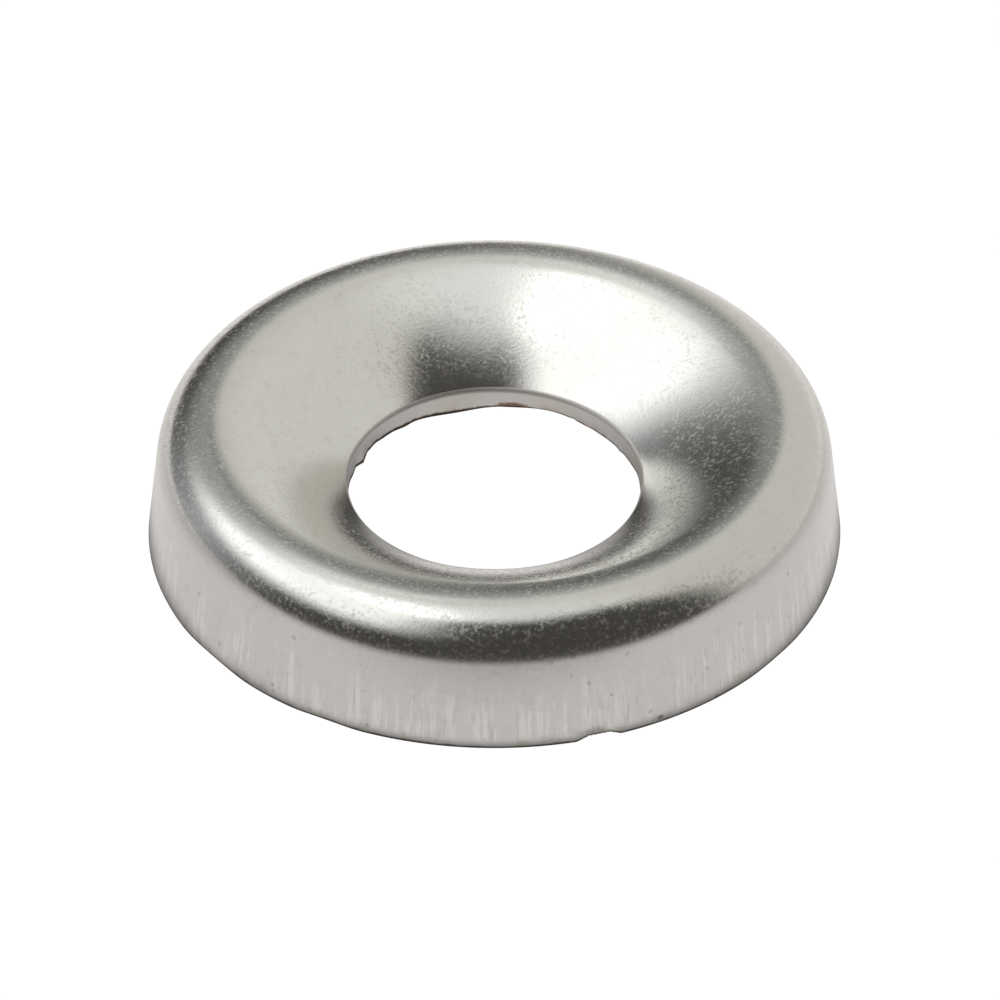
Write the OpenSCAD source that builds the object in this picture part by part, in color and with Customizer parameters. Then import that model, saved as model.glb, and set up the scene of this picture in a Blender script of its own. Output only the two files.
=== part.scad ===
// Finishing cup washer, pressed from one piece of plated sheet steel.
// The origin is the centre of the foot, and +Z runs up the screw's axis.

/* [Cup] */
// Outside diameter across the foot of the skirt
cup_d = 14; // [12:0.1:18]
// Height from the foot to the top of the crown
cup_h = 2.75; // [2.4:0.05:3.6]
// Thickness of the pressed sheet
sheet_t = 0.3; // [0.2:0.01:0.45]
// Radius of the crown's outer side, down to the skirt
crown_r = 1.05; // [0.8:0.05:1.1]
// Lean of the skirt from upright, in degrees
skirt_draft = 7.5; // [0:0.5:12]
// Radius on the outer edge of the foot
foot_edge_r = 0.04; // [0.02:0.01:0.12]

/* [Dish] */
// Radius of the crown's inner side, down to the dish
crown_in_r = 1.3; // [1.15:0.05:2]
// Radius of the dish's slow bulge, from the crown down to the hole
dish_r = 8.4; // [6:0.1:14]
// Diameter of the punched screw hole
hole_d = 5.9; // [5:0.1:7]
// Height of the hole's lower edge above the foot
hole_lift = 0.73; // [0.4:0.01:1]
// Radius that the punch rolled over the hole's upper edge
hole_roll_r = 0.17; // [0.05:0.01:0.3]

/* [Foot nick] */
// Angle of the nick round the axis, from +X
nick_angle = -72; // [-180:1:180]
// Width of the nick along the foot
nick_w = 1; // [0.4:0.05:2]
// Height of the nick above the foot
nick_h = 0.13; // [0.04:0.01:0.3]

/* [Hidden] */
$fn = 96;
// Arcs stand this much proud of the lines that they blend into, so that the two always cross
blend_overlap = 0.0001;

foot_r = cup_d / 2;
hole_r = hole_d / 2;

// The crown's two arcs meet at its top; the outer one has its centre one radius inside the skirt line
crown_z = cup_h - crown_r;
crown_x = foot_r - (crown_r + crown_z * sin(skirt_draft)) / cos(skirt_draft);
crown_c = [crown_x, crown_z];
crown_in_c = [crown_x, cup_h - crown_in_r];

// The dish leaves the crown at the slope that brings its underside to the hole's lower edge
dish_drop = crown_in_c - [hole_r, hole_lift];
dish_gain = dish_r - crown_in_r;
dish_reach = (dish_drop * dish_drop + dish_gain * dish_gain - pow(dish_r - sheet_t, 2)) / (2 * dish_gain);
dish_slope = acos(dish_reach / norm(dish_drop)) - atan2(dish_drop[0], dish_drop[1]);
dish_out = [-sin(dish_slope), cos(dish_slope)];
dish_c = crown_in_c - dish_gain * dish_out;

// Outward normal of the skirt, and the way that it runs down from the crown
skirt_out = [cos(skirt_draft), sin(skirt_draft)];
skirt_down = [sin(skirt_draft), -cos(skirt_draft)];

// Where the sheet's face, moved in by inset, meets the foot's plane, and its height in the dish at x
function foot_corner(inset) = [foot_r - inset / cos(skirt_draft), 0];
function dish_z(x, inset) = dish_c[1] + sqrt(pow(dish_r - inset, 2) - pow(dish_c[0] - x, 2));

// All that lies under the sheet's face, moved in by inset, and past the foot and the hole's wall by past
module under_face(inset, past) {
    outer_r = crown_r - inset;
    inner_r = crown_in_r - inset;
    wall_x = hole_r - past;
    skirt_end = foot_corner(inset) + skirt_down * past;
    dish_start = crown_in_c + dish_out * inner_r;
    // Each arc stands a little prouder than the next one in, so that they cross and never only touch
    translate(crown_c) circle(r = outer_r + 3 * blend_overlap);
    intersection() {
        translate(crown_in_c) circle(r = inner_r + 2 * blend_overlap);
        translate(crown_in_c - [2 * inner_r, 0]) square(2 * inner_r);
    }
    intersection() {
        translate(dish_c) circle(r = dish_r - inset + blend_overlap);
        translate([wall_x, skirt_end[1]]) square([dish_start[0] - wall_x, cup_h + past]);
    }
    polygon([
        skirt_end,
        crown_c + skirt_out * outer_r,
        dish_start,
        [wall_x, dish_z(wall_x, inset)],
        [wall_x, skirt_end[1]]
    ]);
}

// What a radius of r about centre takes off the corner at k, between the places where it touches the sides
module corner_waste(centre, touch_a, k, touch_b, r) {
    // The kite reaches twice as far out as the corner does
    difference() {
        polygon([for (p = [centre, touch_a, k, touch_b]) centre + 2 * (p - centre)]);
        translate(centre) circle(r = r + blend_overlap);
    }
}

module foot_edge_waste() {
    run = foot_edge_r * tan((90 + skirt_draft) / 2);
    k = foot_corner(0);
    corner_waste(k + [-run, foot_edge_r], k - skirt_down * run, k, k - [run, 0], foot_edge_r);
}

module hole_roll_waste() {
    roll_x = hole_r + hole_roll_r;
    centre = [roll_x, dish_c[1] + sqrt(pow(dish_r - hole_roll_r, 2) - pow(dish_c[0] - roll_x, 2))];
    on_dish = centre + hole_roll_r * (centre - dish_c) / norm(centre - dish_c);
    k = [hole_r, dish_z(hole_r, 0)];
    corner_waste(centre, on_dish, k, [hole_r, centre[1]], hole_roll_r);
}

// The sheet from the foot of the skirt, over the crown and down the dish to the hole
module sheet_section() {
    difference() {
        under_face(0, 0);
        under_face(sheet_t, sheet_t);
        foot_edge_waste();
        hole_roll_waste();
    }
}

// Shallow bite out of the foot, cut by a cylinder that lies along a radius
module foot_nick() {
    nick_r = (nick_w * nick_w / 4 + nick_h * nick_h) / (2 * nick_h);
    rotate([0, 0, nick_angle])
        translate([foot_r - 2 * sheet_t, 0, nick_h - nick_r])
            rotate([0, 90, 0])
                cylinder(r = nick_r, h = 3 * sheet_t);
}

module cup_washer() {
    color([0.78, 0.76, 0.74])
        difference() {
            rotate_extrude() sheet_section();
            foot_nick();
        }
}

cup_washer();
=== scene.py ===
"""Finishing cup washer in pressed, plated sheet steel, on a white table under soft studio light.

Lengths are in metres, in the frame of the CAD model: the origin is the centre of the foot, and +Z runs up
the screw's axis. The finishes of the washer work in millimetres, on Object coordinates.
"""
import logging
import math
from dataclasses import dataclass, field
from enum import Enum
from typing import ClassVar

import bmesh
import bpy
from mathutils import Matrix, Vector


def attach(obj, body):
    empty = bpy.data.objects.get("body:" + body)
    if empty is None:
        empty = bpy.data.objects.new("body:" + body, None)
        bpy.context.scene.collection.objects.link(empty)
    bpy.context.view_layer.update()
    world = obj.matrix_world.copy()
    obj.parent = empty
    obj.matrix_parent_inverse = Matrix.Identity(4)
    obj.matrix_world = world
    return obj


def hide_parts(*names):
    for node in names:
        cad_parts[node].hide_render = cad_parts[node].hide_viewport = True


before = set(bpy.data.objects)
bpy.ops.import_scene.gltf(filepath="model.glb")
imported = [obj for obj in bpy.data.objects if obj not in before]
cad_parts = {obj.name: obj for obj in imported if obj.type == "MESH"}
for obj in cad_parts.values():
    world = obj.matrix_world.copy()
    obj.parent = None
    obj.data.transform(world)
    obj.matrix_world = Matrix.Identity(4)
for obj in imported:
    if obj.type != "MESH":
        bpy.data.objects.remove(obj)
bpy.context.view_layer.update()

MM = 0.001
log = logging.getLogger("cup_washer")

Colour = tuple[float, float, float]
Point = tuple[float, float, float]
Pair = tuple[float, float]
# Where a fade begins and where it ends; it begins at the larger value where it runs downwards
Span = tuple[float, float]


class Region(Enum):
    """Surfaces of the sheet that are finished apart; the value is the material slot."""

    FACE = 0
    EDGE = 1
    UNDERSIDE = 2


class NodeBench:
    """Places shader nodes in one tree and links them up."""

    def __init__(self, tree: bpy.types.NodeTree) -> None:
        """Take the tree to work in.

        Args:
            tree: node tree of a material or a group.
        """
        self.tree = tree

    def add(self, kind: str, **settings: object) -> bpy.types.Node:
        """Add one node and set its properties.

        Args:
            kind: Blender's name of the node type.
            settings: properties of the node, by name.

        Returns:
            The new node.
        """
        node = self.tree.nodes.new(kind)
        for key, value in settings.items():
            setattr(node, key, value)
        return node

    def feed(self, socket: bpy.types.NodeSocket, value: object) -> None:
        """Link an output to a socket, or set the socket's own value.

        Args:
            socket: input to feed.
            value: output socket, number, vector or colour.
        """
        if isinstance(value, bpy.types.NodeSocket):
            self.tree.links.new(value, socket)
        elif socket.type == "RGBA":
            socket.default_value = (*value, 1.0)
        else:
            socket.default_value = value

    def math(self, operation: str, *values: object, clamp: bool = False) -> bpy.types.NodeSocket:
        """Work out one number.

        Args:
            operation: name of the Math node's operation.
            values: the operands, outputs or numbers.
            clamp: True keeps the result between 0 and 1.

        Returns:
            The result's output.
        """
        node = self.add("ShaderNodeMath", operation=operation, use_clamp=clamp)
        for socket, value in zip(node.inputs, values):
            self.feed(socket, value)
        return node.outputs["Value"]

    def vector(self, operation: str, *values: object) -> bpy.types.NodeSocket:
        """Work out one vector, or a number from vectors.

        Args:
            operation: name of the Vector Math node's operation.
            values: the operands, outputs or vectors.

        Returns:
            The result's output.
        """
        node = self.add("ShaderNodeVectorMath", operation=operation)
        for socket, value in zip(node.inputs, values):
            self.feed(socket, value)
        number = operation in {"LENGTH", "DISTANCE"}
        return node.outputs["Value" if number else "Vector"]

    def fade(self, value: object, start: float, end: float) -> bpy.types.NodeSocket:
        """Fade smoothly from 0 at start to 1 at end; start may be the larger.

        Args:
            value: the number that the fade follows.
            start: where the fade is 0.
            end: where the fade is 1.

        Returns:
            The fade's output.
        """
        node = self.add("ShaderNodeMapRange", interpolation_type="SMOOTHSTEP")
        low, high = min(start, end), max(start, end)
        self.feed(node.inputs["Value"], value)
        self.feed(node.inputs["From Min"], low)
        self.feed(node.inputs["From Max"], high)
        self.feed(node.inputs["To Min"], 0.0 if start < end else 1.0)
        self.feed(node.inputs["To Max"], 1.0 if start < end else 0.0)
        return node.outputs["Result"]

    def mix(self, share: object, first: object, second: object) -> bpy.types.NodeSocket:
        """Mix two colours.

        Args:
            share: 0 gives the first colour, 1 the second.
            first: colour or output.
            second: colour or output.

        Returns:
            The mixed colour's output.
        """
        # The node has sockets of one name for each data type; 6, 7 and output 2 are those for colours
        node = self.add("ShaderNodeMix", data_type="RGBA")
        self.feed(node.inputs[0], share)
        self.feed(node.inputs[6], first)
        self.feed(node.inputs[7], second)
        return node.outputs[2]

    def noise(self, place: object, size: object, detail: float, rough: float) -> bpy.types.NodeSocket:
        """Cloudy noise from 0 to 1.

        Args:
            place: position in millimetres.
            size: breadth of one cloud in millimetres.
            detail: number of finer octaves.
            rough: strength of the finer octaves.

        Returns:
            The noise's output.
        """
        node = self.add("ShaderNodeTexNoise", noise_dimensions="3D", normalize=True)
        self.feed(node.inputs["Vector"], place)
        scale = self.math("DIVIDE", 1.0, size) if isinstance(size, bpy.types.NodeSocket) else 1.0 / size
        self.feed(node.inputs["Scale"], scale)
        self.feed(node.inputs["Detail"], detail)
        self.feed(node.inputs["Roughness"], rough)
        return node.outputs["Fac"]

    def group(self, tree: bpy.types.NodeTree, **values: object) -> bpy.types.Node:
        """Place a shared node group.

        Args:
            tree: the group's tree.
            values: inputs by name.

        Returns:
            The group's node.
        """
        node = self.add("ShaderNodeGroup", node_tree=tree)
        for key, value in values.items():
            self.feed(node.inputs[key], value)
        return node


@dataclass
class SurfaceEffects:
    """Node groups for the effects that the washer's finishes share.

    Octaves are the number of a noise's finer ones and their strength.
    """

    made: dict[str, bpy.types.NodeTree] = field(default_factory=dict)
    grain_octaves: Pair = (2.0, 0.6)
    line_octaves: Pair = (3.0, 0.65)
    stain_octaves: Pair = (4.0, 0.55)
    stain_share: Span = (0.45, 0.75)
    speck_bend: float = 9.0
    speck_sway: float = 0.07
    speck_edge: float = 0.5

    def start(self, name: str, inputs: dict[str, str], outputs: dict[str, str]) -> tuple[
            NodeBench, bpy.types.Node, bpy.types.Node]:
        """Open a new group.

        Args:
            name: the group's name.
            inputs: socket types by input name.
            outputs: socket types by output name.

        Returns:
            A bench on the group's tree, its input node and its output node.
        """
        tree = bpy.data.node_groups.new(name, "ShaderNodeTree")
        for key, kind in inputs.items():
            tree.interface.new_socket(key, in_out="INPUT", socket_type=kind)
        for key, kind in outputs.items():
            tree.interface.new_socket(key, in_out="OUTPUT", socket_type=kind)
        bench = NodeBench(tree)
        self.made[name] = tree
        return bench, bench.add("NodeGroupInput"), bench.add("NodeGroupOutput")

    def grain(self) -> bpy.types.NodeTree:
        """Fine dimpled grain of the plating, as a height from 0 to 1.

        Returns:
            The group's tree.
        """
        if "plating_grain" in self.made:
            return self.made["plating_grain"]
        bench, given, result = self.start(
            "plating_grain", {"Place": "NodeSocketVector", "Size": "NodeSocketFloat"},
            {"Height": "NodeSocketFloat"})
        fine = bench.noise(given.outputs["Place"], given.outputs["Size"], *self.grain_octaves)
        bench.feed(result.inputs["Height"], fine)
        return self.made["plating_grain"]

    def draw_lines(self) -> bpy.types.NodeTree:
        """Lines that the die drew along the axis, as a height from 0 to 1.

        Returns:
            The group's tree.
        """
        if "die_lines" in self.made:
            return self.made["die_lines"]
        bench, given, result = self.start(
            "die_lines",
            {"Place": "NodeSocketVector", "Spacing": "NodeSocketFloat", "Stretch": "NodeSocketFloat"},
            {"Height": "NodeSocketFloat"})
        split = bench.add("ShaderNodeSeparateXYZ")
        bench.feed(split.inputs[0], given.outputs["Place"])
        flat = bench.add("ShaderNodeCombineXYZ")
        bench.feed(flat.inputs["X"], split.outputs["X"])
        bench.feed(flat.inputs["Y"], split.outputs["Y"])
        ring = bench.vector("SCALE", bench.vector("NORMALIZE", flat.outputs[0]))
        ring.node.inputs["Scale"].default_value = CupWasher.foot_r / MM
        low = bench.math("DIVIDE", split.outputs["Z"], given.outputs["Stretch"])
        lift = bench.add("ShaderNodeCombineXYZ")
        bench.feed(lift.inputs["Z"], low)
        place = bench.vector("ADD", ring, lift.outputs[0])
        height = bench.noise(place, given.outputs["Spacing"], *self.line_octaves)
        bench.feed(result.inputs["Height"], height)
        return self.made["die_lines"]

    def specks(self) -> bpy.types.NodeTree:
        """Scattered small specks, as a mask.

        Returns:
            The group's tree.
        """
        if "specks" in self.made:
            return self.made["specks"]
        bench, given, result = self.start(
            "specks",
            {"Place": "NodeSocketVector", "Cell": "NodeSocketFloat", "Share": "NodeSocketFloat",
             "Breadth": "NodeSocketFloat"},
            {"Mask": "NodeSocketFloat"})
        bend = bench.add("ShaderNodeTexNoise")
        bench.feed(bend.inputs["Vector"], given.outputs["Place"])
        bench.feed(bend.inputs["Scale"], self.speck_bend)
        sway = bench.vector("SCALE", bend.outputs["Color"])
        sway.node.inputs["Scale"].default_value = self.speck_sway
        cells = bench.add("ShaderNodeTexVoronoi", feature="F1")
        bench.feed(cells.inputs["Vector"], bench.vector("ADD", given.outputs["Place"], sway))
        bench.feed(cells.inputs["Scale"], bench.math("DIVIDE", 1.0, given.outputs["Cell"]))
        reach = bench.math("DIVIDE", given.outputs["Breadth"], given.outputs["Cell"])
        away = bench.math("DIVIDE", cells.outputs["Distance"], reach)
        near = bench.math("SUBTRACT", 1.0, away, clamp=True)
        split = bench.add("ShaderNodeSeparateColor")
        bench.feed(split.inputs[0], cells.outputs["Color"])
        chosen = bench.math("LESS_THAN", split.outputs[0], given.outputs["Share"])
        sized = bench.math("MULTIPLY", bench.math("POWER", near, self.speck_edge), chosen)
        bench.feed(result.inputs["Mask"], bench.math("MULTIPLY", sized, split.outputs[1]))
        return self.made["specks"]

    def stains(self) -> bpy.types.NodeTree:
        """Soft, patchy stains, as a mask.

        Returns:
            The group's tree.
        """
        if "stains" in self.made:
            return self.made["stains"]
        bench, given, result = self.start(
            "stains", {"Place": "NodeSocketVector", "Size": "NodeSocketFloat"}, {"Mask": "NodeSocketFloat"})
        cloud = bench.noise(given.outputs["Place"], given.outputs["Size"], *self.stain_octaves)
        bench.feed(result.inputs["Mask"], bench.fade(cloud, *self.stain_share))
        return self.made["stains"]


class Finish:
    """What the washer's finishes have in common."""

    def open(self, name: str) -> tuple[bpy.types.Material, NodeBench, bpy.types.Node, bpy.types.NodeSocket]:
        """Start a metal material.

        Args:
            name: the material's name.

        Returns:
            The material, a bench on its tree, its Principled node and the position in millimetres.
        """
        material = bpy.data.materials.new(name)
        material.use_nodes = True
        bench = NodeBench(material.node_tree)
        shader = material.node_tree.nodes["Principled BSDF"]
        shader.inputs["Metallic"].default_value = 1.0
        place = bench.vector("SCALE", bench.add("ShaderNodeTexCoord").outputs["Object"])
        place.node.inputs["Scale"].default_value = 1.0 / MM
        return material, bench, shader, place

    def emboss(self, bench: NodeBench, shader: bpy.types.Node, height: bpy.types.NodeSocket) -> None:
        """Give the shader a bump.

        Args:
            bench: bench on the material's tree.
            shader: the Principled node.
            height: height in micrometres.
        """
        bump = bench.add("ShaderNodeBump")
        bump.inputs["Strength"].default_value = 1.0
        bump.inputs["Distance"].default_value = MM * MM
        bench.feed(bump.inputs["Height"], height)
        bench.feed(shader.inputs["Normal"], bump.outputs["Normal"])


@dataclass(frozen=True)
class Cloud:
    """Cloudy noise: its breadth in millimetres, the number of finer octaves and their strength."""

    breadth: float
    detail: float
    rough: float

    def lay(self, bench: NodeBench, place: bpy.types.NodeSocket) -> bpy.types.NodeSocket:
        """Lay the noise over a material, from 0 to 1."""
        return bench.noise(place, self.breadth, self.detail, self.rough)


@dataclass(frozen=True)
class Lines:
    """Lines drawn along the axis: their spacing in millimetres, and how far they are stretched."""

    spacing: float
    stretch: float

    def lay(self, bench: NodeBench, effects: SurfaceEffects,
            place: bpy.types.NodeSocket) -> bpy.types.NodeSocket:
        """Lay the lines over a material, as a height from 0 to 1."""
        node = bench.group(effects.draw_lines(), Place=place, Spacing=self.spacing, Stretch=self.stretch)
        return node.outputs["Height"]


@dataclass(frozen=True)
class Specks:
    """Scattered specks: their cell in millimetres, the share of cells that hold one, and their breadth."""

    cell: float
    share: float
    breadth: float

    def lay(self, bench: NodeBench, effects: SurfaceEffects,
            place: bpy.types.NodeSocket) -> bpy.types.NodeSocket:
        """Lay the specks over a material, as a mask."""
        node = bench.group(effects.specks(), Place=place, Cell=self.cell, Share=self.share,
                           Breadth=self.breadth)
        return node.outputs["Mask"]


@dataclass(frozen=True)
class Mark:
    """One mark at a known place: middle and reach each way in millimetres, edge and strength."""

    at: Point
    reach: Point
    edge: Span
    strength: float
    fray: ClassVar[float] = 0.8

    def lay(self, bench: NodeBench, place: bpy.types.NodeSocket,
            cloud: bpy.types.NodeSocket) -> bpy.types.NodeSocket:
        """Lay the mark over a material.

        Args:
            bench: bench on the material's tree.
            place: position in millimetres.
            cloud: noise that frays the mark's edge.

        Returns:
            Output of the mask, 1 in the mark.
        """
        offset = bench.vector("SUBTRACT", place, self.at)
        away = bench.vector("LENGTH", bench.vector("DIVIDE", offset, self.reach))
        return bench.fade(bench.math("MULTIPLY_ADD", cloud, self.fray, away), *self.edge)


@dataclass(frozen=True)
class PlatedFace(Finish):
    """Bright plating: faceted in the dish and on the crown, streaked along the axis on the skirt.

    The spans are in millimetres from the axis or above the foot, or on the scale of their noise.
    """

    name: str = "plated_face"
    dish: Colour = (0.63, 0.627, 0.595)
    crown: Colour = (0.56, 0.556, 0.53)
    skirt: Colour = (0.57, 0.56, 0.55)
    streak: Colour = (0.70, 0.695, 0.68)
    scuff: Colour = (0.40, 0.39, 0.37)
    # Colour of the specks and grime, and also of the painted shade round the nick
    speck_and_nick_shade: Colour = (0.17, 0.155, 0.14)
    stain: Colour = (0.36, 0.335, 0.265)
    # Painted shade along the bottom edge of the foot, where it meets the table
    foot_shade_line: Colour = (0.10, 0.085, 0.07)
    crown_side: Span = (4.9, 5.6)
    skirt_top: Span = (6.62, 6.8)
    roughness: float = 0.14
    skirt_rough: float = 0.08
    cloud: Cloud = Cloud(0.5, 3.0, 0.55)
    cloud_rough: float = 0.05
    facet: Cloud = Cloud(0.078, 2.0, 0.5)
    facet_share: Span = (0.42, 0.72)
    facet_start: Span = (2.8, 3.9)
    facet_rough: float = 0.25
    facet_skirt_loss: float = 0.8
    facet_um: float = 0.6
    patch: Cloud = Cloud(0.26, 2.0, 0.6)
    patch_share: Span = (0.25, 0.58)
    grain_mm: float = 0.05
    grain_um: float = 1.5
    grain_skirt_loss: float = 0.6
    drawn: Lines = Lines(0.06, 18.0)
    drawn_um: float = 2.0
    streaks: Lines = Lines(0.15, 14.0)
    streak_share: Span = (0.5, 0.6)
    streak_strength: float = 0.6
    scuffs: Lines = Lines(0.09, 9.0)
    scuff_share: Span = (0.43, 0.3)
    scuff_strength: float = 0.5
    sway: Cloud = Cloud(0.45, 2.0, 0.6)
    sway_mm: float = 2.4
    lines_low: Span = (0.06, 0.3)
    lines_high: Span = (2.8, 1.8)
    mottle: Cloud = Cloud(0.3, 4.0, 0.6)
    mottle_share: Span = (0.5, 0.25)
    mottle_strength: float = 0.2
    stain_mm: float = 0.55
    stain_high: Span = (0.5, 0.05)
    stain_strength: float = 0.7
    specks: Specks = Specks(0.36, 0.45, 0.06)
    speck_strength: float = 0.12
    speck_skirt_gain: float = 0.5
    grime: Specks = Specks(0.16, 0.5, 0.06)
    grime_high: Span = (0.35, 0.05)
    grime_strength: float = 0.6
    # Painted shade round the nick in the foot, and one more small dark mark low on the skirt
    nick_shade_and_dark_mark: tuple[Mark, ...] = (
        Mark((1.90, -6.70, 0.18), (0.42, 0.4, 0.16), (1.4, 0.6), 0.55),
        Mark((3.2, -6.21, 0.14), (0.09, 0.2, 0.07), (1.4, 0.6), 0.8))
    # Fray, edge and strength of the painted shade along the foot
    line_fray: float = 0.4
    line_share: Span = (0.95, 1.15)
    line_strength: float = 0.85

    def material(self, effects: SurfaceEffects) -> bpy.types.Material:
        """Build the material.

        Args:
            effects: the shared node groups.

        Returns:
            The material.
        """
        material, bench, shader, place = self.open(self.name)
        split = bench.add("ShaderNodeSeparateXYZ")
        bench.feed(split.inputs[0], place)
        up = split.outputs["Z"]
        radius = bench.math("SQRT", bench.math(
            "ADD", bench.math("MULTIPLY", split.outputs["X"], split.outputs["X"]),
            bench.math("MULTIPLY", split.outputs["Y"], split.outputs["Y"])))
        skirt = bench.fade(radius, *self.skirt_top)
        bench.feed(shader.inputs["Base Color"], self.tint(bench, effects, place, up, radius, skirt))
        bench.feed(shader.inputs["Roughness"], self.dullness(bench, place, radius, skirt))
        self.emboss(bench, shader, self.relief(bench, effects, place, skirt))
        return material

    def dullness(self, bench: NodeBench, place: bpy.types.NodeSocket, radius: bpy.types.NodeSocket,
                 skirt: bpy.types.NodeSocket) -> bpy.types.NodeSocket:
        """Work out the roughness; duller facets catch the light beside the dark reflections.

        Args:
            bench: bench on the material's tree.
            place: position in millimetres.
            radius: distance from the axis in millimetres.
            skirt: 1 on the skirt, 0 on the crown and in the dish.

        Returns:
            Output of the roughness.
        """
        rough = bench.math("MULTIPLY_ADD", self.cloud.lay(bench, place), self.cloud_rough, self.roughness)
        facets = bench.fade(self.facet.lay(bench, place), *self.facet_share)
        facets = bench.math("MULTIPLY", facets, bench.fade(self.patch.lay(bench, place), *self.patch_share))
        gain = bench.math("MULTIPLY_ADD", skirt, -self.facet_skirt_loss * self.facet_rough,
                          self.facet_rough)
        dull = bench.math("MULTIPLY", facets, gain)
        rough = bench.math("MULTIPLY_ADD", dull, bench.fade(radius, *self.facet_start), rough)
        return bench.math("MULTIPLY_ADD", skirt, self.skirt_rough, rough)

    def tint(self, bench: NodeBench, effects: SurfaceEffects, place: bpy.types.NodeSocket,
             up: bpy.types.NodeSocket, radius: bpy.types.NodeSocket,
             skirt: bpy.types.NodeSocket) -> bpy.types.NodeSocket:
        """Colour the plating.

        Args:
            bench: bench on the material's tree.
            effects: the shared node groups.
            place: position in millimetres.
            up: height in millimetres.
            radius: distance from the axis in millimetres.
            skirt: 1 on the skirt, 0 on the crown and in the dish.

        Returns:
            The colour's output.
        """
        sway = bench.math("MULTIPLY_ADD", self.sway.lay(bench, place), self.sway_mm, up)
        ends = bench.math("MULTIPLY", bench.fade(up, *self.lines_low), bench.fade(sway, *self.lines_high))
        drawn = bench.math("MULTIPLY", ends, skirt)
        streak = bench.fade(self.streaks.lay(bench, effects, place), *self.streak_share)
        scuff = bench.fade(self.scuffs.lay(bench, effects, place), *self.scuff_share)
        mottle = self.mottle.lay(bench, place)
        blotch = bench.group(effects.stains(), Place=place, Size=self.stain_mm).outputs["Mask"]
        low = bench.math("MULTIPLY", bench.fade(up, *self.stain_high), skirt)
        grime = bench.math("MULTIPLY", self.grime.lay(bench, effects, place), skirt)
        grime = bench.math("MULTIPLY", grime, bench.fade(up, *self.grime_high))
        edge_shade = bench.add("ShaderNodeAttribute", attribute_name=CupWasher.shade_edge_name).outputs["Fac"]
        frayed_edge_shade = bench.math("MULTIPLY_ADD", mottle, self.line_fray, edge_shade)
        layers = [
            (bench.math("MULTIPLY", streak, drawn), self.streak_strength, self.streak),
            (bench.math("MULTIPLY", scuff, drawn), self.scuff_strength, self.scuff),
            (bench.fade(mottle, *self.mottle_share), self.mottle_strength, self.scuff),
            (bench.math("MULTIPLY", low, blotch), self.stain_strength, self.stain),
            (grime, self.grime_strength, self.speck_and_nick_shade),
            (self.specks.lay(bench, effects, place),
             bench.math("MULTIPLY_ADD", skirt, self.speck_skirt_gain, self.speck_strength), self.speck_and_nick_shade),
            # painted shade round the nick, and one more small dark mark
            *((dark_patch.lay(bench, place, mottle), dark_patch.strength, self.speck_and_nick_shade) for dark_patch in self.nick_shade_and_dark_mark),
            # painted shade along the foot's bottom edge
            (bench.fade(frayed_edge_shade, *self.line_share), self.line_strength, self.foot_shade_line),
        ]
        colour = bench.mix(bench.fade(radius, *self.crown_side), self.dish, self.crown)
        colour = bench.mix(skirt, colour, self.skirt)
        for mask, strength, shade in layers:
            colour = bench.mix(bench.math("MULTIPLY", mask, strength), colour, shade)
        return colour

    def relief(self, bench: NodeBench, effects: SurfaceEffects, place: bpy.types.NodeSocket,
               skirt: bpy.types.NodeSocket) -> bpy.types.NodeSocket:
        """Shape the plating's fine relief.

        Args:
            bench: bench on the material's tree.
            effects: the shared node groups.
            place: position in millimetres.
            skirt: 1 on the skirt, 0 on the crown and in the dish.

        Returns:
            Output of the height in micrometres.
        """
        grain = bench.group(effects.grain(), Place=place, Size=self.grain_mm).outputs["Height"]
        facets = bench.add("ShaderNodeTexVoronoi", feature="F1")
        bench.feed(facets.inputs["Vector"], place)
        bench.feed(facets.inputs["Scale"], 1.0 / self.facet.breadth)
        coarse = bench.math("MULTIPLY", grain, self.grain_um)
        coarse = bench.math("MULTIPLY_ADD", facets.outputs["Distance"], self.facet_um, coarse)
        kept = bench.math("MULTIPLY_ADD", skirt, -self.grain_skirt_loss, 1.0)
        lines = bench.math("MULTIPLY", self.drawn.lay(bench, effects, place), self.drawn_um)
        return bench.math("ADD", bench.math("MULTIPLY", coarse, kept), bench.math("MULTIPLY", lines, skirt))


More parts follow.
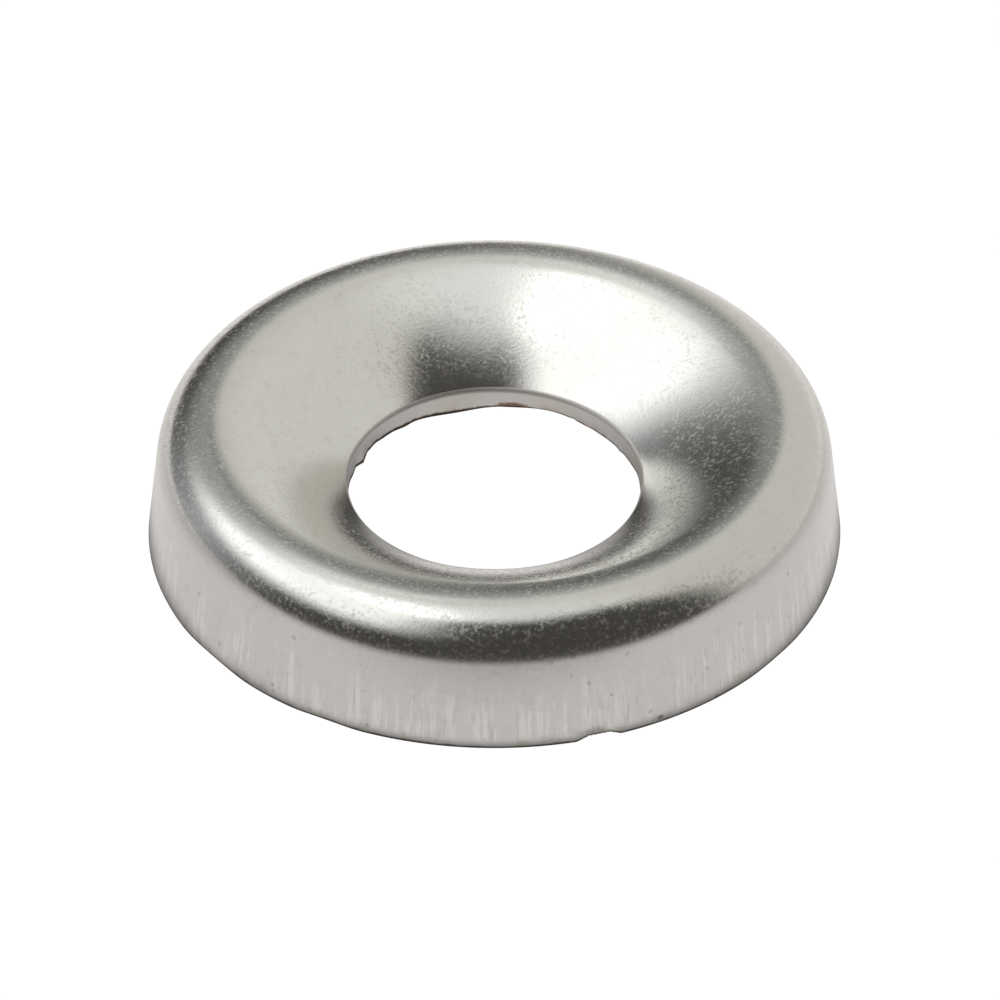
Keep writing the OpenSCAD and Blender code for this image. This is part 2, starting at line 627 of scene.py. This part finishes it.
@dataclass(frozen=True)
class PunchedEdge(Finish):
    """Rolled edge and wall of the hole: burnished, with painted shade along its ragged lower edge, deeper
    towards -X, and one spot of rust.
    """

    name: str = "punched_edge"
    burnished: Colour = (0.66, 0.64, 0.64)
    warm: Colour = (0.65, 0.63, 0.59)
    smudged: Colour = (0.40, 0.33, 0.28)
    # Colour of the painted shade along the hole's lower edge
    lower_edge_shade: Colour = (0.06, 0.045, 0.035)
    rust: Colour = (0.36, 0.21, 0.13)
    roughness: float = 0.46
    lines: Lines = Lines(0.12, 9.0)
    lines_um: float = 3.0
    cloud: Cloud = Cloud(0.12, 3.0, 0.6)
    tone: Cloud = Cloud(1.4, 1.0, 0.5)
    tone_share: Span = (0.4, 0.6)
    smudge_mm: float = 0.5
    smudge_high: Span = (0.98, 0.75)
    smudge_strength: float = 0.7
    spot: Mark = Mark((0.38, 2.91, 0.77), (0.38, 0.6, 0.10), (1.5, 0.9), 0.85)
    spot_rough: float = 0.25
    # Painted shade along the lower edge: how it deepens towards -X, its fray and its edge
    lower_shade_side: Span = (0.4, -1.4)
    lower_shade_gain: float = 0.35
    lower_shade_fray: float = 0.5
    lower_shade_share: Span = (0.92, 1.25)

    def material(self, effects: SurfaceEffects) -> bpy.types.Material:
        """Build the material.

        Args:
            effects: the shared node groups.

        Returns:
            The material.
        """
        material, bench, shader, place = self.open(self.name)
        cloud = self.cloud.lay(bench, place)
        edge_shade = bench.add("ShaderNodeAttribute", attribute_name=CupWasher.shade_edge_name).outputs["Fac"]
        split = bench.add("ShaderNodeSeparateXYZ")
        bench.feed(split.inputs[0], place)
        blotch = bench.group(effects.stains(), Place=place, Size=self.smudge_mm).outputs["Mask"]
        smudge = bench.math("MULTIPLY", bench.fade(split.outputs["Z"], *self.smudge_high), blotch)
        rust = self.spot.lay(bench, place, cloud)
        left = bench.fade(split.outputs["X"], *self.lower_shade_side)
        deep = bench.math("MULTIPLY", edge_shade, bench.math("MULTIPLY_ADD", left, self.lower_shade_gain, 1.0))
        lower_edge_shade = bench.math("MULTIPLY_ADD", cloud, self.lower_shade_fray, deep)
        tone = bench.fade(self.tone.lay(bench, place), *self.tone_share)
        colour = bench.mix(tone, self.burnished, self.warm)
        colour = bench.mix(bench.math("MULTIPLY", smudge, self.smudge_strength), colour, self.smudged)
        colour = bench.mix(bench.math("MULTIPLY", rust, self.spot.strength), colour, self.rust)
        # painted shade along the hole's lower edge
        colour = bench.mix(bench.fade(lower_edge_shade, *self.lower_shade_share), colour, self.lower_edge_shade)
        bench.feed(shader.inputs["Base Color"], colour)
        rough = bench.math("MULTIPLY_ADD", rust, self.spot_rough, self.roughness)
        bench.feed(shader.inputs["Roughness"], rough)
        lines = self.lines.lay(bench, effects, place)
        self.emboss(bench, shader, bench.math("MULTIPLY", lines, self.lines_um))
        return material


@dataclass(frozen=True)
class DullUnderside(Finish):
    """Inside of the cup, where the plating lies thinner and duller."""

    name: str = "dull_underside"
    clean: Colour = (0.46, 0.45, 0.43)
    stained: Colour = (0.30, 0.27, 0.24)
    roughness: float = 0.42
    stain_mm: float = 1.1
    stain_rough: float = 0.15
    grain_mm: float = 0.09
    grain_um: float = 3.0

    def material(self, effects: SurfaceEffects) -> bpy.types.Material:
        """Build the material.

        Args:
            effects: the shared node groups.

        Returns:
            The material.
        """
        material, bench, shader, place = self.open(self.name)
        stain = bench.group(effects.stains(), Place=place, Size=self.stain_mm).outputs["Mask"]
        grain = bench.group(effects.grain(), Place=place, Size=self.grain_mm).outputs["Height"]
        bench.feed(shader.inputs["Base Color"], bench.mix(stain, self.clean, self.stained))
        rough = bench.math("MULTIPLY_ADD", stain, self.stain_rough, self.roughness)
        bench.feed(shader.inputs["Roughness"], rough)
        self.emboss(bench, shader, bench.math("MULTIPLY", grain, self.grain_um))
        return material


class SectionPen:
    """Draws one stretch of the sheet's section, in the XZ plane of a bmesh of its own."""

    def __init__(self, start: Vector) -> None:
        """Put the pen down.

        Args:
            start: first point of the stretch.
        """
        self.mesh = bmesh.new()
        self.tip = self.mesh.verts.new(start)

    def line(self, end: Vector, steps: int) -> None:
        """Draw straight on.

        Args:
            end: point to draw to.
            steps: number of edges.
        """
        stride = (end - self.tip.co) / steps
        for _ in range(steps):
            self.tip = bmesh.ops.extrude_vert_indiv(self.mesh, verts=[self.tip])["verts"][0]
            bmesh.ops.translate(self.mesh, verts=[self.tip], vec=stride)

    def arc(self, centre: Vector, turn: float, steps: int) -> None:
        """Draw an arc.

        Args:
            centre: the arc's centre.
            turn: angle of the arc in radians, from +X towards +Z.
            steps: number of edges.
        """
        swept = bmesh.ops.spin(self.mesh, geom=[self.tip], cent=centre, axis=(0.0, -1.0, 0.0), angle=turn,
                               steps=steps)
        self.tip = next(part for part in swept["geom_last"] if isinstance(part, bmesh.types.BMVert))


@dataclass(frozen=True)
class Hump:
    """One rise or fall of an edge, in degrees and millimetres; a sharp one comes to a point."""

    angle: float
    half: float
    rise: float
    sharp: bool = False

    def at(self, angle: float) -> float:
        """Height of the hump at one place.

        Args:
            angle: place round the axis in degrees.

        Returns:
            The rise there in millimetres.
        """
        away = abs(math.remainder(angle - self.angle, 360.0)) / self.half
        if away >= 1.0:
            return 0.0
        return self.rise * (1.0 - away if self.sharp else 0.5 + 0.5 * math.cos(math.pi * away))


@dataclass(frozen=True)
class RaggedEdge:
    """Edge of the sheet that strays from its true circle."""

    humps: tuple[Hump, ...]

    def stray(self, angle: float) -> float:
        """How far the edge stands off at one place.

        Args:
            angle: place round the axis in degrees.

        Returns:
            The distance in metres.
        """
        return MM * sum(hump.at(angle) for hump in self.humps)


@dataclass
class FootNick:
    """Small bite out of the foot, steep on one side and toothed at its bottom."""

    angle: float = math.radians(-72.0)
    steep_end: float = -0.60 * MM
    deep_start: float = -0.36 * MM
    deep_end: float = 0.06 * MM
    shallow_end: float = 0.30 * MM
    depth: float = 0.12 * MM
    tooth: float = 0.014 * MM
    tooth_gap: float = 0.09 * MM
    reach: float = 0.45 * MM

    def lift(self, along: float) -> float:
        """Height of the bite at one place.

        Args:
            along: distance along the foot from the nick's middle.

        Returns:
            The height by which the edge stands above the foot.
        """
        rise = (along - self.steep_end) / (self.deep_start - self.steep_end)
        fall = (self.shallow_end - along) / (self.shallow_end - self.deep_end)
        share = max(0.0, min(1.0, rise, fall))
        tooth = abs(math.remainder(along, self.tooth_gap)) / (self.tooth_gap / 2)
        return share * (self.depth - self.tooth * tooth)


@dataclass
class CupWasher:
    """The washer: one sheet from the foot of the skirt, over the crown and down the dish to the hole."""

    name: str = "cup_washer_sheet"
    foot_r: float = 6.999 * MM
    height: float = 2.7496 * MM
    sheet: float = 0.3 * MM
    crown_r: float = 1.05 * MM
    crown_in_r: float = 1.3 * MM
    dish_r: float = 8.4 * MM
    draft: float = math.radians(7.5)
    foot_edge_r: float = 0.04 * MM
    hole_r: float = 2.95 * MM
    hole_lift: float = 0.73 * MM
    roll_r: float = 0.17 * MM
    nick: FootNick = field(default_factory=FootNick)
    foot: RaggedEdge = RaggedEdge((
        Hump(218.0, 10.0, 0.06), Hump(242.0, 7.0, 0.035), Hump(200.0, 12.0, 0.015), Hump(322.0, 7.0, 0.02),
        Hump(355.0, 10.0, 0.05), Hump(60.0, 25.0, 0.03), Hump(135.0, 30.0, 0.025)))
    hole: RaggedEdge = RaggedEdge((
        Hump(66.0, 20.0, 0.055), Hump(57.0, 1.6, 0.02, True), Hump(47.0, 3.0, 0.012, True),
        Hump(30.0, 2.5, -0.02, True), Hump(12.0, 9.0, 0.025), Hump(106.0, 19.0, -0.066),
        Hump(129.0, 6.0, -0.025), Hump(145.0, 4.0, 0.02, True), Hump(156.5, 5.5, -0.10, True),
        Hump(167.0, 5.0, -0.02)))
    hole_up: float = 0.75
    hole_out: float = 0.5
    # Mesh layer that marks where painted shade lies, along the foot and along the hole's lower edge
    shade_edge_name: ClassVar[str] = "painted_edge_shade"
    foot_shade_height: float = 0.06 * MM
    # Share of the wall's height, from its top, where the painted shade along the hole's lower edge begins
    lower_shade_from: float = 0.5
    face_steps: tuple[int, ...] = (4, 12, 26, 10, 22)
    edge_steps: tuple[int, ...] = (8, 6)
    under_steps: tuple[int, ...] = (7, 5, 8, 5, 2)
    fine_arc: float = math.radians(18.0)
    fine_steps: int = 100
    coarse_steps: int = 64
    coarse_copies: int = 10
    merge: float = 1e-7
    sharp: float = math.radians(40.0)

    @staticmethod
    def ray(angle: float) -> Vector:
        """Unit vector in the section, at an angle from +X towards +Z."""
        return Vector((math.cos(angle), 0.0, math.sin(angle)))

    @property
    def crown_c(self) -> Vector:
        """Centre of the crown's outer arc, one radius inside the skirt and under the top.

        Returns:
            The centre, in the section's plane.
        """
        z = self.height - self.crown_r
        x = self.foot_r - (self.crown_r + z * math.sin(self.draft)) / math.cos(self.draft)
        return Vector((x, 0.0, z))

    @property
    def crown_in_c(self) -> Vector:
        """Centre of the crown's inner arc."""
        return Vector((self.crown_c.x, 0.0, self.height - self.crown_in_r))

    @property
    def dish_slope(self) -> float:
        """Slope of the dish below the crown, which brings its underside to the hole's lower edge.

        Returns:
            The slope in radians.
        """
        drop = self.crown_in_c - Vector((self.hole_r, 0.0, self.hole_lift))
        gain = self.dish_r - self.crown_in_r
        reach = (drop.length_squared + gain ** 2 - (self.dish_r - self.sheet) ** 2) / (2 * gain)
        return math.acos(reach / drop.length) - math.atan2(drop.x, drop.z)

    @property
    def dish_c(self) -> Vector:
        """Centre of the dish's bulge."""
        gain = self.dish_r - self.crown_in_r
        return self.crown_in_c - self.ray(math.pi / 2 + self.dish_slope) * gain

    @property
    def roll_slope(self) -> float:
        """Slope of the dish where the rolled hole edge begins."""
        return math.asin((self.dish_c.x - self.hole_r - self.roll_r) / (self.dish_r - self.roll_r))

    @property
    def roll_c(self) -> Vector:
        """Centre of the rolled hole edge."""
        return self.dish_c + self.ray(math.pi / 2 + self.roll_slope) * (self.dish_r - self.roll_r)

    @property
    def foot_c(self) -> Vector:
        """Centre of the rounded foot edge."""
        inset = self.foot_edge_r * (1 + math.sin(self.draft)) / math.cos(self.draft)
        return Vector((self.foot_r - inset, 0.0, self.foot_edge_r))

    def face_stretch(self) -> SectionPen:
        """Draw the outer face: foot edge, skirt, crown and dish.

        Returns:
            The pen with the drawn stretch.
        """
        upright = math.pi / 2
        foot, skirt, crown, crown_in, dish = self.face_steps
        pen = SectionPen(self.foot_c + self.ray(-upright) * self.foot_edge_r)
        pen.arc(self.foot_c, upright + self.draft, foot)
        pen.line(self.crown_c + self.ray(self.draft) * self.crown_r, skirt)
        pen.arc(self.crown_c, upright - self.draft, crown)
        pen.arc(self.crown_in_c, self.dish_slope, crown_in)
        pen.arc(self.dish_c, self.roll_slope - self.dish_slope, dish)
        return pen

    def edge_stretch(self) -> SectionPen:
        """Draw the hole's rolled upper edge and its wall.

        Returns:
            The pen with the drawn stretch.
        """
        upright = math.pi / 2
        roll, wall = self.edge_steps
        pen = SectionPen(self.roll_c + self.ray(upright + self.roll_slope) * self.roll_r)
        pen.arc(self.roll_c, upright - self.roll_slope, roll)
        pen.line(Vector((self.hole_r, 0.0, self.hole_lift)), wall)
        return pen

    def underside_stretch(self) -> SectionPen:
        """Draw the inside of the cup and the flat foot.

        Returns:
            The pen with the drawn stretch.
        """
        hole_slope = math.asin((self.dish_c.x - self.hole_r) / (self.dish_r - self.sheet))
        dish, crown_in, crown, skirt, foot = self.under_steps
        pen = SectionPen(Vector((self.hole_r, 0.0, self.hole_lift)))
        pen.arc(self.dish_c, self.dish_slope - hole_slope, dish)
        pen.arc(self.crown_in_c, -self.dish_slope, crown_in)
        pen.arc(self.crown_c, self.draft - math.pi / 2, crown)
        pen.line(Vector((self.foot_r - self.sheet / math.cos(self.draft), 0.0, 0.0)), skirt)
        pen.line(Vector((self.foot_c.x, 0.0, 0.0)), foot)
        return pen

    def turn(self, pen: SectionPen, region: Region, whole: bmesh.types.BMesh) -> None:
        """Spin a stretch about the axis and add it to the washer.

        The sector at the nick is turned in fine steps; the rest is one coarse sector and its copies.

        Args:
            pen: the drawn stretch.
            region: the surface that it makes.
            whole: bmesh of the washer.
        """
        axis = {"cent": (0.0, 0.0, 0.0), "axis": (0.0, 0.0, 1.0)}
        coarse_arc = (math.tau - self.fine_arc) / self.coarse_copies
        start = self.nick.angle - self.fine_arc / 2
        for begin, arc, steps, copies in (
                (start, self.fine_arc, self.fine_steps, 1),
                (start + self.fine_arc, coarse_arc, self.coarse_steps, self.coarse_copies)):
            sector = pen.mesh.copy()
            bmesh.ops.rotate(sector, verts=sector.verts[:], cent=(0.0, 0.0, 0.0),
                             matrix=Matrix.Rotation(begin, 3, "Z"))
            bmesh.ops.spin(sector, geom=[*sector.verts, *sector.edges], angle=arc, steps=steps, **axis)
            if copies > 1:
                bmesh.ops.spin(sector, geom=[*sector.verts, *sector.edges, *sector.faces],
                               angle=arc * (copies - 1), steps=copies - 1, use_duplicate=True, **axis)
            for face in sector.faces:
                face.material_index = region.value
                face.smooth = True
            turned = bpy.data.meshes.new("turned_stretch")
            sector.to_mesh(turned)
            sector.free()
            whole.from_mesh(turned)
            bpy.data.meshes.remove(turned)
        pen.mesh.free()

    def fray(self, whole: bmesh.types.BMesh) -> None:
        """Mark the two edges that get a painted shade, and let them stray from their circles.

        Args:
            whole: bmesh of the washer.
        """
        edge_shade_layer = whole.verts.layers.float.new(self.shade_edge_name)
        wall_top = self.roll_c.z
        for vert in whole.verts:
            flat = math.hypot(vert.co.x, vert.co.y)
            turn = math.atan2(vert.co.y, vert.co.x)
            degrees = math.degrees(turn)
            if flat > self.crown_c.x and vert.co.z < self.nick.reach:
                along = math.remainder(turn - self.nick.angle, math.tau) * self.foot_r
                share = 1.0 - vert.co.z / self.nick.reach
                vert[edge_shade_layer] = 1.0 if vert.co.z < self.foot_shade_height else 0.0
                vert.co.z += max(self.nick.lift(along), self.foot.stray(degrees)) * share
            elif flat < self.hole_r + self.merge and vert.co.z < wall_top:
                share = (wall_top - vert.co.z) / (wall_top - self.hole_lift)
                vert[edge_shade_layer] = max(0.0, (share - self.lower_shade_from) / (1.0 - self.lower_shade_from))
                stray = self.hole.stray(degrees) * share
                vert.co.z += stray * self.hole_up
                out = 1.0 + stray * self.hole_out / flat
                vert.co.x, vert.co.y = vert.co.x * out, vert.co.y * out

    def build(self) -> bpy.types.Object:
        """Make the washer's mesh.

        Returns:
            The washer's object.
        """
        whole = bmesh.new()
        self.turn(self.face_stretch(), Region.FACE, whole)
        self.turn(self.edge_stretch(), Region.EDGE, whole)
        self.turn(self.underside_stretch(), Region.UNDERSIDE, whole)
        bmesh.ops.remove_doubles(whole, verts=whole.verts[:], dist=self.merge)
        self.fray(whole)
        bmesh.ops.recalc_face_normals(whole, faces=whole.faces[:])
        for edge in whole.edges:
            if edge.is_manifold and edge.calc_face_angle() > self.sharp:
                edge.smooth = False
        mesh = bpy.data.meshes.new(self.name)
        whole.to_mesh(mesh)
        whole.free()
        piece = bpy.data.objects.new(self.name, mesh)
        bpy.context.scene.collection.objects.link(piece)
        return piece

    def dress(self, piece: bpy.types.Object) -> None:
        """Give the washer its finishes, and say what it stands for.

        Args:
            piece: the washer's object.
        """
        effects = SurfaceEffects()
        for finish in (PlatedFace(), PunchedEdge(), DullUnderside()):
            piece.data.materials.append(finish.material(effects))
        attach(piece, "root")
        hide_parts("cup_washer")


@dataclass
class Table:
    """White table that the washer stands on.

    It glows. What the metal mirrors of its glow is painted light: dimmer towards the camera and towards the
    sides, with a painted shadow under the washer and round its foot, and a painted pool of light inside the
    hole.
    """

    name: str = "table"
    half: float = 1.5
    white: Colour = (1.02, 1.02, 1.02)
    warm: Colour = (1.02, 0.985, 0.965)
    dim: float = 0.08
    near: float = 0.80
    back: float = 0.30
    side_loss: float = 0.25
    front_fade: Span = (-17.0 * MM, -8.2 * MM)
    side_fade: Span = (8.0 * MM, 20.0 * MM)
    back_fade: Span = (6.0 * MM, 20.0 * MM)
    # Painted shadow under the washer and round its foot, and the middle and reach of the painted pool of
    # light inside the hole
    shade: float = 0.9
    spot: Point = (0.0, 0.8 * MM, 0.0)
    shade_inner: Span = (0.9 * MM, 2.8 * MM)
    shade_outer: Span = (7.5 * MM, 6.8 * MM)

    def build(self) -> bpy.types.Object:
        """Make the table's plane.

        Returns:
            The table's object.
        """
        plane = bmesh.new()
        bmesh.ops.create_grid(plane, x_segments=1, y_segments=1, size=self.half)
        mesh = bpy.data.meshes.new(self.name)
        plane.to_mesh(mesh)
        plane.free()
        table = bpy.data.objects.new(self.name, mesh)
        bpy.context.scene.collection.objects.link(table)
        return table

    def dress(self, table: bpy.types.Object) -> None:
        """Paint the table: plain white to look at, and graded where the metal mirrors it.

        Args:
            table: the table's object.
        """
        material = bpy.data.materials.new("white_table")
        material.use_nodes = True
        bench = NodeBench(material.node_tree)
        shader = material.node_tree.nodes["Principled BSDF"]
        place = bench.add("ShaderNodeTexCoord").outputs["Object"]
        split = bench.add("ShaderNodeSeparateXYZ")
        bench.feed(split.inputs[0], place)
        front = bench.fade(split.outputs["Y"], *self.front_fade)
        back = bench.fade(split.outputs["Y"], *self.back_fade)
        side = bench.fade(bench.math("ABSOLUTE", split.outputs["X"]), *self.side_fade)
        side = bench.math("MULTIPLY", side, bench.math("SUBTRACT", 1.0, back))
        near = bench.math("MULTIPLY", front, bench.math("MULTIPLY_ADD", side, -self.side_loss, 1.0))
        glow = bench.math("MULTIPLY_ADD", near, self.near, self.dim)
        glow = bench.math("MULTIPLY_ADD", back, self.back, glow)
        # Painted shadow under the washer and round its foot, with a painted pool of light inside the hole,
        # in the glow that only mirrored rays see; the camera sees plain white
        radius = bench.vector("LENGTH", place)
        inside = bench.vector("DISTANCE", place, self.spot)
        under = bench.math("MULTIPLY", bench.fade(inside, *self.shade_inner),
                           bench.fade(radius, *self.shade_outer))
        glow = bench.math("MULTIPLY", glow, bench.math("MULTIPLY_ADD", under, -self.shade, 1.0))
        graded = bench.mix(glow, (0.0, 0.0, 0.0), self.warm)
        seen = bench.add("ShaderNodeLightPath").outputs["Is Camera Ray"]
        bench.feed(shader.inputs["Emission Color"], bench.mix(seen, graded, self.white))
        shader.inputs["Emission Strength"].default_value = 1.0
        shader.inputs["Base Color"].default_value = (0.0, 0.0, 0.0, 1.0)
        shader.inputs["Roughness"].default_value = 1.0
        shader.inputs["Specular IOR Level"].default_value = 0.0
        table.data.materials.append(material)


@dataclass(frozen=True)
class SoftPanel:
    """One soft-edged panel of light, by its bearing from +Y towards +X and its elevation, in degrees.

    Half is half its breadth, low and high are its edges, and each edge is blurred that far to both sides.
    """

    name: str
    bearing: float
    half: float
    blur: float
    low: float
    low_blur: float
    high: float
    high_blur: float
    radiance: float
    colour: Colour = (1.0, 1.0, 1.0)

    def shine(self, bench: NodeBench, bearing: bpy.types.NodeSocket,
              elevation: bpy.types.NodeSocket) -> bpy.types.NodeSocket:
        """Light up the panel's part of the surroundings.

        Args:
            bench: bench on the world's tree.
            bearing: bearing looked along, in degrees.
            elevation: elevation looked along, in degrees.

        Returns:
            Output of the panel's light.
        """
        up = bench.math("MULTIPLY",
                        bench.fade(elevation, self.low - self.low_blur, self.low + self.low_blur),
                        bench.fade(elevation, self.high + self.high_blur, self.high - self.high_blur))
        away = bench.math("ABSOLUTE", bench.math("WRAP", bench.math("SUBTRACT", bearing, self.bearing),
                                                 180.0, -180.0))
        side = bench.fade(away, self.half + self.blur, self.half - self.blur)
        light = bench.vector("SCALE", tuple(self.radiance * part for part in self.colour))
        bench.feed(light.node.inputs["Scale"], bench.math("MULTIPLY", side, up))
        light.node.label = self.name
        return light


@dataclass
class Studio:
    """Soft panels of light round the washer, and the dim room behind them."""

    room: Colour = (0.082, 0.077, 0.07)
    # Each panel: name, bearing, half, blur, low, low_blur, high, high_blur, radiance, colour
    panels: tuple[SoftPanel, ...] = (
        SoftPanel("key", -94.5, 54.5, 21.0, 32.0, 13.5, 81.2, 7.0, 1.6, (1.0, 1.0, 1.0)),
        SoftPanel("right", 55.4, 49.4, 8.5, -8.0, 6.0, 71.9, 7.9, 0.79, (1.0, 0.995, 0.94)),
        SoftPanel("ceiling", 0.0, 200.0, 1.0, 71.4, 8.6, 120.0, 5.0, 1.01, (0.99, 1.0, 1.0)),
        SoftPanel("back", -14.0, 18.0, 12.0, 34.0, 24.0, 61.3, 6.8, 0.6, (0.97, 0.99, 1.0)),
        SoftPanel("low_back", 2.0, 10.0, 12.0, -6.0, 5.0, 16.0, 12.0, 0.19, (0.96, 0.98, 1.0)),
        SoftPanel("low_left", -69.4, 12.3, 37.4, -1.0, 7.3, 49.9, 3.6, 0.68, (0.93, 0.98, 1.04)),
        SoftPanel("high_back", -16.5, 19.5, 20.0, 53.5, 8.6, 72.2, 7.9, 0.87, (1.0, 1.0, 0.97)),
    )

    def build(self) -> None:
        """Set up the lights, the room and the picture's tone."""
        world = bpy.data.worlds.new("studio")
        world.use_nodes = True
        bench = NodeBench(world.node_tree)
        way = bench.add("ShaderNodeSeparateXYZ")
        bench.feed(way.inputs[0], bench.add("ShaderNodeTexCoord").outputs["Generated"])
        bearing = bench.math("DEGREES", bench.math("ARCTAN2", way.outputs["X"], way.outputs["Y"]))
        elevation = bench.math("DEGREES", bench.math("ARCSINE", way.outputs["Z"]))
        light = self.room
        for panel in self.panels:
            light = bench.vector("ADD", light, panel.shine(bench, bearing, elevation))
        background = world.node_tree.nodes["Background"]
        bench.feed(background.inputs["Color"], light)
        background.inputs["Strength"].default_value = 1.0
        bpy.context.scene.world = world
        bpy.context.scene.view_settings.view_transform = "Standard"


@dataclass
class Viewpoint:
    """Camera at the photograph's place."""

    elevation: float = math.radians(38.22)
    distance: float = 100.0 * MM
    lens: float = 177.75
    sensor: float = 36.0
    shift: Pair = (0.0056, 0.0230)
    clip: Pair = (0.005, 10.0)

    def build(self) -> None:
        """Place the camera and make it the scene's own."""
        camera = bpy.data.cameras.new("camera")
        camera.sensor_width = self.sensor
        camera.lens = self.lens
        camera.shift_x, camera.shift_y = self.shift
        camera.clip_start, camera.clip_end = self.clip
        viewer = bpy.data.objects.new("camera", camera)
        back = Vector((0.0, -math.cos(self.elevation), math.sin(self.elevation)))
        viewer.location = back * self.distance
        viewer.rotation_euler = back.to_track_quat("Z", "Y").to_euler()
        bpy.context.scene.collection.objects.link(viewer)
        bpy.context.scene.camera = viewer


def main() -> None:
    """Build the camera, the washer, the table and the lights, in that order."""
    logging.basicConfig(level=logging.INFO, format="%(name)s: %(message)s")
    Viewpoint().build()
    washer = CupWasher()
    piece = washer.build()
    washer.dress(piece)
    log.info("%s: %d faces", piece.name, len(piece.data.polygons))
    table = Table()
    board = table.build()
    table.dress(board)
    log.info("%s: stage", board.name)
    Studio().build()


if __name__ == "__main__":
    main()
